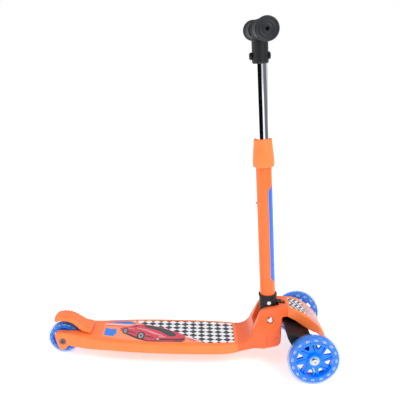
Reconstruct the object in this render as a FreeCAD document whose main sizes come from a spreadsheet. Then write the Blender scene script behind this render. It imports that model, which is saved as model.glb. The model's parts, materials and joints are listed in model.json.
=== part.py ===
import FreeCAD, Part
import math
import os
import Sketcher

# A child's three-wheeled kick scooter: two front wheels on a tilting truck, one rear wheel under a
# foot brake, a folding T-bar and a telescopic handlebar.
# Frame: X forward, Y left, Z up, origin on the floor under the middle of the scooter. Millimetres.

# Every size that can be chosen by itself, in millimetres, degrees or a plain count.
DRIVING_SIZES = {
    # the whole scooter
    "wheelbase": 580,
    "front_track": 234,
    "front_wheel_diameter": 120,
    "rear_wheel_diameter": 80,
    "wheel_width": 24,
    "bar_height": 766,
    "bar_width": 269,
    "rake": 5.2,
    # clearances
    "fit": 0.05,
    "running_gap": 0.4,
    "film": 0.3,
    # deck
    "deck_height": 58,
    "deck_thickness": 24,
    "deck_half_width": 63.5,
    "deck_wall": 3,
    "deck_plate": 4,
    "deck_edge_radius": 4,
    "rib": 2.5,
    "rib_spacing": 46,
    "tail_half_width": 31,
    "tail_rise": 4,
    "tail_side_gap": 2,
    # nose and fold pivot
    "pivot_setback": 91,
    "pivot_rise": 54,
    "nose_tail": 74,
    "heel_front": 27,
    "nose_front": 41,
    "heel_half_width": 45.5,
    "cheek_half_width": 33,
    "pin_radius": 5,
    # hood over the truck
    "hood_reach": 137,
    "hood_half_width": 49,
    "hood_wall": 3.5,
    # kingpin and truck
    "kingpin_angle": 30,
    "kingpin_ahead": 52,
    "kingpin_drop": 4,
    "bolt_radius": 4,
    "boss_radius": 10,
    "hub_radius": 15,
    "hub_length": 26,
    "bushing_thickness": 6,
    "arm_length": 103,
    "arm_inner": 48,
    "eye_radius": 15,
    # wheels and bearings
    "bearing_radius": 11,
    "bearing_width": 7,
    "bearing_recess": 1,
    "ring_radius": 6,
    "wheel_rim_share": 0.73,
    "flange_half_width": 8,
    "window_count": 8,
    "slot_count": 16,
    # stem
    "socket_radius": 20.5,
    "socket_height": 54,
    "socket_floor": 10,
    "outer_tube_radius": 18,
    "outer_tube_wall": 1.6,
    "outer_tube_top": 418,
    "collar_bottom": 362,
    "collar_top": 425,
    "collar_radius": 24.5,
    "stripe_bottom": 83,
    "stripe_top": 321,
    "bush_wall": 1.4,
    "inner_tube_wall": 1.5,
    "height_pin_level": 277,
    "height_pin_radius": 3,
    "height_step": 43.3,
    "button_width": 18,
    "button_travel": 3,
    # handlebar
    "neck_radius": 17.75,
    "neck_drop": 66,
    "neck_bolt_drop": 54,
    "bar_radius": 11,
    "grip_radius": 19,
    "grip_flange_radius": 24,
    "grip_inner": 22,
    # foot brake
    "fender_half_width": 22,
    "fender_wall": 3.5,
    "fender_rib": 1.6,
    "brake_gap": 9.5,
    "pad_thickness": 3,
    "brake_hinge_ahead": 56,
    "brake_pin_radius": 2.5,
    "barrel_radius": 6,
}

V = FreeCAD.Vector
ALONG_Z = FreeCAD.Rotation()
ALONG_X = FreeCAD.Rotation(V(0, 1, 0), 90)
ALONG_Y = FreeCAD.Rotation(V(1, 0, 0), -90)
RIGHT = -1
LEFT = 1

doc = FreeCAD.newDocument("kick_scooter")
sheet = doc.addObject("Spreadsheet::Sheet", "sizes")
for row, (alias, number) in enumerate(DRIVING_SIZES.items(), start=1):
    sheet.set(f"A{row}", str(number))
    sheet.setAlias(f"A{row}", alias)
doc.recompute()


class Size:
    """A number together with the sheet expression that gives it."""

    def __init__(self, value, text):
        self.value = float(value)
        self.text = text

    def __add__(self, other):
        other = as_size(other)
        return Size(self.value + other.value, f"({self.text} + {other.text})")

    def __sub__(self, other):
        other = as_size(other)
        return Size(self.value - other.value, f"({self.text} - {other.text})")

    def __mul__(self, other):
        other = as_size(other)
        return Size(self.value * other.value, f"({self.text} * {other.text})")

    def __truediv__(self, other):
        other = as_size(other)
        return Size(self.value / other.value, f"({self.text} / {other.text})")

    def __neg__(self):
        return Size(-self.value, f"(0 - {self.text})")

    __radd__ = __add__
    __rmul__ = __mul__

    def __rsub__(self, other):
        return as_size(other) - self


def as_size(number):
    return number if isinstance(number, Size) else Size(number, f"({number!r})")


def cosine(angle):
    return Size(math.cos(math.radians(angle.value)), f"cos({angle.text})")


def sine(angle):
    return Size(math.sin(math.radians(angle.value)), f"sin({angle.text})")


class Sizes:
    """The sheet's cells as named sizes."""


s = Sizes()
for alias in DRIVING_SIZES:
    setattr(s, alias, Size(getattr(sheet, alias), f"sizes.{alias}"))

# Places that follow from the driving sizes.
front_radius = s.front_wheel_diameter / 2
rear_radius = s.rear_wheel_diameter / 2
rear_x = -(s.wheelbase + front_radius - rear_radius) / 2
front_x = rear_x + s.wheelbase
half_wheel = s.wheel_width / 2
deck_top = s.deck_height
deck_bottom = deck_top - s.deck_thickness
pivot_x = front_x - s.pivot_setback
pivot_z = deck_top + s.pivot_rise
seam_x = pivot_x - s.nose_tail
bolt_lateral = s.deck_half_width / 2
bolt_level = deck_bottom + s.deck_thickness / 2
hood_seam_x = pivot_x + s.nose_front
slot_half = s.socket_radius + s.running_gap
kingpin_x = pivot_x + s.kingpin_ahead
kingpin_z = pivot_z - s.kingpin_drop
bar_level = (s.bar_height - pivot_z) / cosine(s.rake)
neck_bottom = bar_level - s.neck_drop
tube_bore = s.outer_tube_radius - s.outer_tube_wall
inner_tube_radius = tube_bore - s.bush_wall
screw_start = -s.outer_tube_radius - 5
tail_slot_half = half_wheel + s.tail_side_gap
hinge_x = rear_x + s.brake_hinge_ahead
hinge_z = deck_top - 4

NODES = {}


def bind(item, name, size):
    """Tie one property of an object to the sheet."""
    item.setExpression(name, as_size(size).text)


def place(item, at, turn=ALONG_Z):
    item.Placement = FreeCAD.Placement(V(), turn)
    for letter, distance in zip("xyz", at):
        bind(item, f"Placement.Base.{letter}", distance)
    return item


def cylinder(radius, length, at=(0, 0, 0), turn=ALONG_Z):
    """A rod that starts at a point and runs along one axis."""
    item = doc.addObject("Part::Cylinder", "rod")
    bind(item, "Radius", radius)
    bind(item, "Height", length)
    return place(item, at, turn)


def cone(radius, end_radius, length, at=(0, 0, 0), turn=ALONG_Z):
    item = doc.addObject("Part::Cone", "taper")
    bind(item, "Radius1", radius)
    bind(item, "Radius2", end_radius)
    bind(item, "Height", length)
    return place(item, at, turn)


def hexagon(flats, length, at=(0, 0, 0), turn=ALONG_Z):
    """A nut's or a bolt head's six-sided block, by its width across flats."""
    item = doc.addObject("Part::Prism", "hexagon")
    item.Polygon = 6
    bind(item, "Circumradius", as_size(flats) / math.sqrt(3))
    bind(item, "Height", length)
    return place(item, at, turn)


def box(low, high):
    """A block between two opposite corners."""
    item = doc.addObject("Part::Box", "block")
    for name, start, end in zip(("Length", "Width", "Height"), low, high):
        bind(item, name, as_size(end) - start)
    return place(item, low)


def fuse(*items):
    item = doc.addObject("Part::MultiFuse", "joined")
    item.Shapes = list(items)
    item.Refine = True
    return item


def group(*items):
    """Separate solids of one kind that share a node."""
    item = doc.addObject("Part::Compound", "group")
    item.Links = list(items)
    return item


def cut(base, *tools):
    item = doc.addObject("Part::Cut", "cut")
    item.Base = base
    item.Tool = tools[0] if len(tools) == 1 else fuse(*tools)
    item.Refine = True
    return item


def common(first, *others):
    """What several solids share."""
    for other in others:
        item = doc.addObject("Part::Common", "shared")
        item.Base = first
        item.Tool = other
        item.Refine = True
        first = item
    return first


def ring(radius, bore, length, at=(0, 0, 0), turn=ALONG_Z):
    """A tube, washer or spacer: its bore is longer than it at both ends."""
    rod = cylinder(radius, length, (0, 0, 0))
    hole = cylinder(bore, as_size(length) + 2, (0, 0, -1))
    return place(cut(rod, hole), at, turn)


def rounded(item, radius, test):
    """Round the edges of a finished solid that a test picks by their middle points."""
    doc.recompute()
    fillet = doc.addObject("Part::Fillet", "rounded")
    fillet.Base = item
    chosen = []
    for number, edge in enumerate(item.Shape.Edges, start=1):
        middle = edge.valueAt((edge.FirstParameter + edge.LastParameter) / 2)
        if test(edge, middle):
            chosen.append((number, float(radius.value), float(radius.value)))
    fillet.Edges = chosen
    return fillet


def new_body():
    return doc.addObject("PartDesign::Body", "body")


def new_sketch(body, plane, offset=0):
    """A sketch on one of its body's origin planes, or parallel to it."""
    sketch = body.newObject("Sketcher::SketchObject", "outline")
    support = [item for item in body.Origin.OriginFeatures if item.Role == plane][0]
    sketch.AttachmentSupport = [(support, "")]
    sketch.MapMode = "FlatFace"
    bind(sketch, "AttachmentOffset.Base.z", offset)
    return sketch


def arc_between(start, end, radius):
    """The short arc from start to end. A positive radius turns left, a negative one right."""
    chord = end - start
    middle = (start + end) / 2
    rise = math.sqrt(max(radius * radius - chord.Length * chord.Length / 4, 0))
    left = V(-chord.y, chord.x, 0).normalize()
    centre = middle + left * (rise if radius > 0 else -rise)
    if radius < 0:
        start, end = end, start
    first = math.atan2(start.y - centre.y, start.x - centre.x)
    last = math.atan2(end.y - centre.y, end.x - centre.x)
    if last < first:
        last += 2 * math.pi
    return Part.ArcOfCircle(Part.Circle(centre, V(0, 0, 1), abs(radius)), first, last)


def outline(sketch, corners):
    """A closed outline. A corner is (u, v), or (u, v, radius) where an arc leaves it."""
    corners = [tuple(as_size(number) for number in corner) for corner in corners]
    points = [V(corner[0].value, corner[1].value, 0) for corner in corners]
    ends = []
    for index, corner in enumerate(corners):
        start = points[index]
        end = points[(index + 1) % len(points)]
        if len(corner) == 3:
            edge = sketch.addGeometry(arc_between(start, end, corner[2].value), False)
            ends.append((edge, 1, 2) if corner[2].value > 0 else (edge, 2, 1))
        else:
            edge = sketch.addGeometry(Part.LineSegment(start, end), False)
            ends.append((edge, 1, 2))
    for index, corner in enumerate(corners):
        edge, first, last = ends[index]
        following = ends[(index + 1) % len(ends)]
        sketch.addConstraint(Sketcher.Constraint("Coincident", edge, last, following[0], following[1]))
        for kind, distance in zip(("DistanceX", "DistanceY"), corner):
            held = Sketcher.Constraint(kind, -1, 1, edge, first, distance.value)
            number = sketch.addConstraint(held)
            bind(sketch, f"Constraints[{number}]", distance)
        if len(corner) == 3:
            radius = corner[2] if corner[2].value > 0 else -corner[2]
            number = sketch.addConstraint(Sketcher.Constraint("Radius", edge, radius.value))
            bind(sketch, f"Constraints[{number}]", radius)
    return sketch


def mirrored(half):
    """A symmetric outline from its half with v above zero, listed in the order of rising u.

    A bend that is given with a corner belongs to the edge on the negative side, and its mirror
    image gets the same one.
    """
    near = [(u, -as_size(v), *bend) for u, v, *bend in half]
    far = []
    for index in reversed(range(len(half))):
        bend = half[index - 1][2:] if index else ()
        far.append((*half[index][:2], *bend))
    return near + far


def pad(body, sketch, length, midplane=False):
    feature = body.newObject("PartDesign::Pad", "pad")
    feature.Profile = sketch
    feature.Midplane = midplane
    bind(feature, "Length", length)
    return feature


def prism(plane, corners, length, offset=0, midplane=False):
    """A body with one outline padded along its plane's normal, or to both sides of the plane."""
    body = new_body()
    pad(body, outline(new_sketch(body, plane, offset), corners), length, midplane)
    return body


def slab(plane, corners, width):
    """An outline padded equally to both sides of its plane."""
    return prism(plane, corners, width, midplane=True)


def turned(corners):
    """A body revolved about its own Y axis from a half section given as (radius, y)."""
    body = new_body()
    sketch = outline(new_sketch(body, "XY_Plane"), corners)
    feature = body.newObject("PartDesign::Revolution", "turned")
    feature.Profile = sketch
    feature.ReferenceAxis = (sketch, ["V_Axis"])
    feature.Angle = 360
    return body


def pattern_pocket(body, corners, count):
    """Pockets right through a turned body, repeated about its axis."""
    sketch = outline(new_sketch(body, "XZ_Plane"), corners)
    pocket = body.newObject("PartDesign::Pocket", "opening")
    pocket.Profile = sketch
    pocket.Type = "ThroughAll"
    pocket.Midplane = True
    turn = body.newObject("PartDesign::PolarPattern", "openings")
    turn.Originals = [pocket]
    turn.Axis = (sketch, ["N_Axis"])
    turn.Angle = 360
    bind(turn, "Occurrences", count)
    body.Tip = turn


def coil(radius, wire, length, turns, at, turn=ALONG_Z):
    """A coil spring of round wire, drawn from the sheet's values."""
    item = doc.addObject("Part::Feature", "coil")
    path = Part.makeHelix(length.value / turns, length.value, radius.value)
    section = Part.Wire(Part.makeCircle(wire, V(radius.value, 0, 0), V(0, 1, 0)))
    item.Shape = Part.Wire(path.Edges).makePipeShell([section], True, True)
    return place(item, at, turn)


def tilted(item, at, angle, sense):
    """Turn a piece that is drawn upright about its own Y axis, then carry it to its place."""
    whole = group(item)
    place(whole, at, FreeCAD.Rotation(V(0, 1, 0), sense))
    bind(whole, "Placement.Rotation.Angle", angle)
    return whole


def on_stem(item):
    """Stand a piece that is drawn about the fold pin on the raked stem."""
    return tilted(item, (pivot_x, 0, pivot_z), -s.rake, -1)


def on_kingpin(item):
    """Lay a piece that is drawn along Z on the kingpin's slope."""
    return tilted(item, (kingpin_x, 0, kingpin_z), 90 - s.kingpin_angle, 1)


def node(name, item):
    """Name a finished piece."""
    item.Label = name
    NODES[name] = item
    return item


# ---- deck -------------------------------------------------------------------------------------


def board_plan(margin):
    """The board's plan from the tail to the hood's seam, drawn in by a margin. Half outline."""
    wide = s.deck_half_width - margin
    return [
        (rear_x - 24, s.tail_half_width - margin),
        (rear_x + 12, s.tail_half_width - margin),
        (rear_x + 40, s.tail_half_width + 8 - margin),
        (rear_x + 80, wide - 14.5),
        (rear_x + 150, wide - 4.5),
        (rear_x + 225, wide),
        (seam_x - 90, wide),
        (seam_x - 40, wide - 2.5),
        (seam_x, wide - 8.5),
        (pivot_x - 36, s.heel_half_width + 1.5 - margin),
        (pivot_x - 10, s.heel_half_width - margin),
        (hood_seam_x, s.heel_half_width - margin),
    ]


def board_profile():
    """The deck's side view: a level board with a forked tail that carries the rear axle."""
    tail_top = deck_top + s.tail_rise
    return [
        (rear_x - 18, tail_top - 7),
        (rear_x - 14, rear_radius - 4),
        (rear_x - 8, rear_radius - 18, 10),
        (rear_x + 7.5, rear_radius - 17),
        (rear_x + 14, deck_bottom - 3),
        (rear_x + 60, deck_bottom - 3),
        (rear_x + 110, deck_bottom),
        (seam_x - 40, deck_bottom, 250),
        (seam_x, deck_bottom + 3.5),
        (seam_x, deck_top),
        (rear_x + 100, deck_top, -250),
        (rear_x + 56, tail_top),
        (rear_x - 12, tail_top, 8),
    ]


def smooth_plan(margin, low, height):
    """The board's plan as one smooth curve, padded upwards from a level."""
    half = [V(u.value, v.value, 0) for u, v in (map(as_size, point) for point in board_plan(margin))]
    item = doc.addObject("Part::Feature", "plan")
    left = Part.BSplineCurve()
    left.interpolate(half)
    right = Part.BSplineCurve()
    right.interpolate([V(point.x, -point.y, 0) for point in half])
    ends = [Part.LineSegment(V(point.x, -point.y, 0), point) for point in (half[0], half[-1])]
    edges = [left.toShape(), right.toShape(), ends[0].toShape(), ends[1].toShape()]
    wire = Part.Wire(Part.__sortEdges__(edges))
    item.Shape = Part.Face(wire).extrude(V(0, 0, as_size(height).value))
    return place(item, (0, 0, low))


def ribs():
    """Upright ribs that stiffen the hollow underside."""
    start = rear_x + 110
    length = seam_x - start
    count = int(length.value / s.rib_spacing.value)
    plates = []
    for number in range(count):
        x = start + length * (number + 0.5) / count
        plates.append(box((x, -s.deck_half_width, 0), (x + s.rib, s.deck_half_width, deck_top)))
    for share in (-0.5, 0, 0.5):
        y = s.deck_half_width * share
        plates.append(box((rear_x, y - s.rib / 2, 0), (seam_x, y + s.rib / 2, deck_top)))
    return plates


def make_deck():
    """One moulding: a skirted board, ribbed below, whose forked tail holds the rear wheel."""
    whole = common(
        slab("XZ_Plane", board_profile(), s.deck_half_width * 2 + 10),
        smooth_plan(0, 0, deck_top + 40),
    )
    edges = rounded(
        whole,
        s.deck_edge_radius,
        lambda edge, middle: middle.z > deck_top.value - 0.5
        and abs(middle.y) > tail_slot_half.value
        and abs(edge.lastVertex().Point.x - edge.firstVertex().Point.x) > 8,
    )
    hollow = common(
        smooth_plan(s.deck_wall, 0, deck_top - s.deck_plate),
        box((rear_x + 84, -s.deck_half_width, 0), (seam_x - 6, s.deck_half_width, deck_top)),
    )
    wheel_slot = fuse(
        box((rear_x - 60, -tail_slot_half, 0), (hinge_x + 1, tail_slot_half, deck_top + 60)),
        box((hinge_x, -tail_slot_half, 0), (hinge_x + s.barrel_radius + 2, tail_slot_half, deck_top + 60)),
    )
    reach = s.tail_half_width + 20
    seat = s.tail_half_width - 5
    openings = [
        wheel_slot,
        cylinder(s.bolt_radius + s.fit, reach * 2, (rear_x, -reach, rear_radius), ALONG_Y),
        cylinder(8, 20, (rear_x, seat, rear_radius), ALONG_Y),
        cylinder(8, 20, (rear_x, -seat - 20, rear_radius), ALONG_Y),
        cylinder(s.brake_pin_radius + s.fit, 60, (hinge_x, -30, hinge_z), ALONG_Y),
    ]
    for side in (RIGHT, LEFT):
        place_y = bolt_lateral * side
        openings.append(cylinder(3 + s.fit, 20, (seam_x - 10, place_y, bolt_level), ALONG_X))
        openings.append(cylinder(5 + s.fit, 10, (seam_x - 16, place_y, bolt_level), ALONG_X))
    return cut(cut(edges, cut(hollow, *ribs())), *openings)


def make_deck_print():
    """The printed film on the board's flat top."""
    start = rear_x + 92
    end = seam_x - 8
    half = [
        (start, 34),
        (start + 60, s.deck_half_width - 16),
        (start + 140, s.deck_half_width - 11),
        (end - 60, s.deck_half_width - 11),
        (end, s.deck_half_width - 17),
    ]
    return prism("XY_Plane", mirrored(half), s.film, deck_top)


node("deck_board", make_deck())
node("deck_print", make_deck_print())


# ---- nose -------------------------------------------------------------------------------------


def ahead(distance):
    """A place this far in front of the fold pin."""
    return pivot_x + distance


def above(distance):
    """A level this far above the fold pin."""
    return pivot_z + distance


def nose_profile():
    """The nose's side view: a ramp up from the board, the cheek tops and the heel below."""
    return [
        (seam_x, deck_bottom + 3.5),
        (ahead(-35), above(-69)),
        (ahead(-12), above(-70.5)),
        (ahead(15), above(-64), 14),
        (ahead(s.heel_front), above(-51)),
        (ahead(s.heel_front), above(2), -8),
        (ahead(s.heel_front + 6), above(8)),
        (ahead(s.nose_front), above(8)),
        (ahead(s.nose_front), above(30), 126),
        (ahead(20), above(32.2)),
        (ahead(-4), above(27.5), 26),
        (ahead(-27), above(8)),
        (ahead(-40.2), above(-30.3), -36),
        (seam_x, deck_top),
    ]


def nose_front_view():
    """Seen from the front: full width at the board, drawn in to the cheeks above it."""
    wide = s.deck_half_width + 3
    cheek = s.cheek_half_width
    shoulder = s.heel_half_width + 1
    return [
        (-wide, 0),
        (wide, 0),
        (wide, deck_top),
        (shoulder, deck_top + 16, 140),
        (cheek, above(10)),
        (cheek, above(60)),
        (-cheek, above(60)),
        (-cheek, above(10), 140),
        (-shoulder, deck_top + 16),
        (-wide, deck_top),
    ]


nut_flats = 13
washer_radius = 10
upper_stack = s.hub_length / 2 + s.running_gap + s.bushing_thickness
nut_start = -46
nut_length = 6.5


def make_nose():
    """The nose moulding: two cheeks that carry the fold pin, the heel and the kingpin's boss."""
    whole = common(
        slab("XZ_Plane", nose_profile(), s.deck_half_width * 2 + 10),
        prism("YZ_Plane", nose_front_view(), hood_seam_x - seam_x, seam_x),
        smooth_plan(0, 0, pivot_z + 60),
    )
    boss_top = -(s.hub_length / 2) - s.running_gap - s.bushing_thickness
    boss = on_kingpin(cylinder(s.boss_radius, 40, (0, 0, boss_top - 40)))
    floor = pivot_z - slot_half
    channel = s.button_width / 2 + s.running_gap
    slot = fuse(
        box((seam_x, -slot_half, floor), (pivot_x, slot_half, above(60))),
        box((pivot_x - 1, -slot_half, pivot_z), (pivot_x + slot_half, slot_half, above(60))),
        cylinder(slot_half, slot_half * 2, (pivot_x, -slot_half, pivot_z), ALONG_Y),
        box((pivot_x, -channel, above(-2)), (hood_seam_x - s.hood_wall, channel, above(60))),
    )
    pin_seat = s.cheek_half_width + 1
    pocket = box(
        (nut_flats * -0.58 - 0.2, -nut_flats / 2 - 0.2, nut_start - 0.3),
        (60, nut_flats / 2 + 0.2, nut_start + nut_length + 0.3),
    )
    tools = [
        slot,
        cylinder(s.pin_radius + s.fit, 100, (pivot_x, -50, pivot_z), ALONG_Y),
        cylinder(8, 20, (pivot_x, pin_seat, pivot_z), ALONG_Y),
        cylinder(8, 20, (pivot_x, -pin_seat - 20, pivot_z), ALONG_Y),
        lock_rod(s.fit),
        on_kingpin(cylinder(s.bolt_radius + s.fit, 60, (0, 0, -60))),
        on_kingpin(pocket),
    ]
    for side in (RIGHT, LEFT):
        start = (seam_x - 1, bolt_lateral * side, bolt_level)
        tools.append(cylinder(3 + s.fit, 26, start, ALONG_X))
        tools.append(heel_groove(side))
    return cut(fuse(whole, boss), *tools)


def heel_groove(side):
    """A shallow upright line pressed into each side of the heel, with a short foot ahead of it."""
    upright = slab("XZ_Plane", [
        (ahead(-3.2), above(-80)),
        (ahead(-0.8), above(-80)),
        (ahead(-5.5), above(-36)),
        (ahead(-7.9), above(-36)),
    ], 140)
    foot = box((ahead(12), -70, above(-41)), (ahead(23), 70, above(-38.6)))
    inner = s.heel_half_width - 1.8
    low, high = (inner, inner + 20) if side == LEFT else (-inner - 20, -inner)
    return common(fuse(upright, foot), box((ahead(-20), low, above(-90)), (ahead(30), high, above(0))))


def lock_rod(margin):
    """The steel rod across the nose, just ahead of the release button's foot."""
    half = s.button_width / 2 + 6 + margin
    return cylinder(3 + margin, half * 2, (ahead(28), -half, above(1)), ALONG_Y)


def make_fold_pin():
    """The pin that the stem folds on, with a domed head in its seat on the right cheek."""
    seat = s.cheek_half_width + 1
    shank = cylinder(s.pin_radius, seat * 2, (pivot_x, -seat, pivot_z), ALONG_Y)
    head = cylinder(7, 3, (pivot_x, -seat - 3, pivot_z), ALONG_Y)
    dome = cone(5.2, 7, 1.2, (pivot_x, -seat - 4.2, pivot_z), ALONG_Y)
    return fuse(shank, head, dome)


def make_fold_pin_cap():
    seat = s.cheek_half_width + 1 + s.fit
    flange = cylinder(7, 3, (pivot_x, seat, pivot_z), ALONG_Y)
    dome = cone(7, 5.2, 1.2, (pivot_x, seat + 3, pivot_z), ALONG_Y)
    return fuse(flange, dome)


def make_nose_bolt(side):
    """A screw through the deck's front wall into the nose."""
    y = bolt_lateral * side
    shank = cylinder(3, 29, (seam_x - 6, y, bolt_level), ALONG_X)
    head = cylinder(5, 3.5, (seam_x - 9.5, y, bolt_level), ALONG_X)
    return fuse(shank, head)


node("nose_yoke", make_nose())
node("lock_bar", lock_rod(0))
node("fold_pin", make_fold_pin())
node("fold_pin_cap", make_fold_pin_cap())
node("nose_bolts", group(make_nose_bolt(RIGHT), make_nose_bolt(LEFT)))


# ---- hood -------------------------------------------------------------------------------------


def hood_top(margin, grow=0):
    """The arch of the hood from its front lip back to the nose."""
    front = s.hood_reach - margin + grow
    return [
        (ahead(front), above(-50), 84),
        (ahead(106 + grow * 0.6) - margin * 0.7, above(-1 + grow * 0.8) - margin * 0.7, 118),
        (ahead(s.nose_front), above(30 + grow) - margin),
    ]


def hood_profile():
    """The hood's side view: an arch with a skirt that ends above the truck's arms."""
    return [
        (ahead(s.nose_front), above(8)),
        (ahead(58), above(3)),
        (ahead(98), above(-20.5)),
        (ahead(112), above(-25), -34),
        (ahead(124), above(-50)),
        (ahead(128), above(-68)),
        (ahead(s.hood_reach), above(-68)),
    ] + hood_top(0)


def hood_band(margin, grow=0):
    """The side view under the arch, carried down past the skirt."""
    front = s.hood_reach - margin + grow
    return [(ahead(s.nose_front), above(-80)), (ahead(front), above(-80))] + hood_top(margin, grow)


def hood_plan(margin):
    """Half of the hood's plan: it flares from the cheeks to its full width over the truck."""
    wide = s.hood_half_width - margin
    front = s.hood_reach - margin
    return [
        (hood_seam_x, s.cheek_half_width - margin, 110),
        (ahead(100), wide),
        (ahead(front - 25), wide, 26),
        (ahead(front), wide - 25),
    ]


def make_hood():
    """A thin moulded cover, open below, that meets the nose at its rear edge."""
    width = s.hood_half_width * 2 + 10
    height = pivot_z + 60
    whole = common(
        slab("XZ_Plane", hood_profile(), width),
        prism("XY_Plane", mirrored(hood_plan(0)), height),
    )
    hollow = common(
        slab("XZ_Plane", hood_band(s.hood_wall), width),
        prism("XY_Plane", mirrored(hood_plan(s.hood_wall)), height),
    )
    return cut(whole, hollow)


def make_hood_print():
    """The printed film that follows the hood's top."""
    half = [(ahead(47), 24), (ahead(80), 34), (ahead(122), 34)]
    above_hood = cut(
        slab("XZ_Plane", hood_band(0, s.film), s.hood_half_width * 2),
        slab("XZ_Plane", hood_band(0), s.hood_half_width * 2 + 2),
    )
    return common(above_hood, prism("XY_Plane", mirrored(half), pivot_z + 60))


node("front_hood", make_hood())
node("hood_print", make_hood_print())


# ---- foot brake -------------------------------------------------------------------------------

wheel_top = rear_radius * 2
tail_top = deck_top + s.tail_rise


def behind(distance):
    """A place this far in front of the rear axle; a negative distance lies behind it."""
    return rear_x + distance


def around_axle(radius, angle):
    """A point of the side view at a radius and an angle about the rear axle."""
    turn = as_size(angle)
    return (rear_x + radius * cosine(turn), rear_radius + radius * sine(turn))


def fender_stations(margin):
    """The crown's level and half width at places along the fender, drawn in by a margin."""
    wide = s.fender_half_width - margin
    crown = wheel_top + 20 - margin
    return [
        (behind(-22.5) + margin, crown - 9, wide - 10),
        (behind(-19) + margin, crown - 4.5, wide - 3.5),
        (behind(-13) + margin * 0.5, crown - 1.5, wide - 0.5),
        (behind(0), crown, wide),
        (behind(12), crown - 1, wide),
        (behind(24), crown - 5, wide),
        (behind(36), crown - 12.5, wide + 2),
        (behind(46) - margin * 0.3, crown - 20, wide + 4),
        (behind(56) - margin * 0.6, crown - 25, wide + 6),
        (behind(68) - margin, crown - 33, wide + 7.5),
    ]


def arch_section(x, top, half, low, radius):
    """An upright cross-section with two rounded top corners."""
    slope = radius * math.sqrt(0.5)
    corner = half - radius
    shoulder = top - radius
    right_low = V(x, -half, low)
    right_high = V(x, -half, shoulder)
    left_high = V(x, half, shoulder)
    left_low = V(x, half, low)
    right_bend = Part.Arc(right_high, V(x, -corner - slope, shoulder + slope), V(x, -corner, top))
    left_bend = Part.Arc(V(x, corner, top), V(x, corner + slope, shoulder + slope), left_high)
    edges = [
        Part.LineSegment(left_low, right_low),
        Part.LineSegment(right_low, right_high),
        right_bend,
        Part.LineSegment(V(x, -corner, top), V(x, corner, top)),
        left_bend,
        Part.LineSegment(left_high, left_low),
    ]
    return Part.Wire([edge.toShape() for edge in edges])


def fender_block(margin, radius):
    """A solid of the fender's outer shape, reaching down past its edges."""
    item = doc.addObject("Part::Feature", "fender_block")
    low = rear_radius.value
    sections = []
    for x, top, half in fender_stations(margin):
        sections.append(arch_section(x.value, top.value, half.value, low, radius))
    item.Shape = Part.makeLoft(sections, True, False)
    return item


def fender_edges():
    """The side view of what the fender leaves free: the wheel, the tail and its tip's underside."""
    reach = rear_radius + s.brake_gap
    return [
        (behind(-40), rear_radius - 5),
        (behind(100), rear_radius - 5),
        (behind(100), tail_top + 2.4),
        (behind(52), tail_top + 3),
        (*around_axle(reach, 40), reach),
        around_axle(reach, 99),
        (behind(-19), wheel_top + 4.5),
        (behind(-40), wheel_top + 4.5),
    ]


def fender_ribs(tip_radius):
    """Raised bands across the crown that stop a shoe from slipping."""
    raised = fender_block(as_size(-s.fender_rib), tip_radius + s.fender_rib.value)
    above = wheel_top + 10
    bands = []
    for number in range(5):
        low = behind(-3 + number * 8)
        band = box((low, -s.fender_half_width - 3, above), (low + 3.4, s.fender_half_width + 3, above + 30))
        bands.append(cut(common(raised, band), fender_block(as_size(1.5), tip_radius - 1.5)))
    return bands


def make_fender():
    """The brake's spoon: a hollow arch with a neck and a barrel on its pin."""
    tip_radius = s.fender_half_width.value / 2 - 1
    outside = fender_block(as_size(0), tip_radius)
    inside = fender_block(s.fender_wall, tip_radius - s.fender_wall.value)
    hollow = common(inside, box((behind(-40), -60, 0), (behind(54), 60, wheel_top + 60)))
    shell = cut(outside, hollow, slab("XZ_Plane", fender_edges(), 100))
    neck_half = tail_slot_half - s.running_gap - 0.5
    neck = box((hinge_x - 6, -neck_half, hinge_z), (hinge_x + 5, neck_half, tail_top + 8))
    barrel = cylinder(s.barrel_radius, neck_half * 2, (hinge_x, -neck_half, hinge_z), ALONG_Y)
    holder = common(
        box((behind(-8), -9, wheel_top + 7), (behind(22), 9, wheel_top + 30)),
        fender_block(as_size(1), tip_radius),
    )
    pin_bore = cylinder(s.brake_pin_radius + s.fit, 60, (hinge_x, -30, hinge_z), ALONG_Y)
    pad_seat = cylinder(pad_inner + s.pad_thickness, 40, (rear_x, -20, rear_radius), ALONG_Y)
    return cut(fuse(shell, *fender_ribs(tip_radius), neck, barrel, cut(holder, pad_seat)), pin_bore)


pad_inner = rear_radius + s.brake_gap - 3


def make_pad():
    """The curved brake shoe under the fender."""
    shoe = cut(
        cylinder(pad_inner + s.pad_thickness, 18, (rear_x, -9, rear_radius), ALONG_Y),
        cylinder(pad_inner, 30, (rear_x, -15, rear_radius), ALONG_Y),
    )
    return common(shoe, box((behind(-8), -9, wheel_top), (behind(22), 9, wheel_top + 30)))


node("brake_fender", make_fender())
node("brake_pad", make_pad())
node("brake_pin", cylinder(s.brake_pin_radius, 54, (hinge_x, -27, hinge_z), ALONG_Y))


# ---- wheels -----------------------------------------------------------------------------------

hub_radius = s.bearing_radius + 4
bearing_inner = half_wheel - s.bearing_recess - s.bearing_width
bearing_seat = s.bearing_radius + s.fit


def polar(radius, angle):
    """A point on the wheel's face, its angle measured from straight up."""
    turn = math.radians(angle)
    return (radius * math.sin(turn), radius * math.cos(turn))


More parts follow.
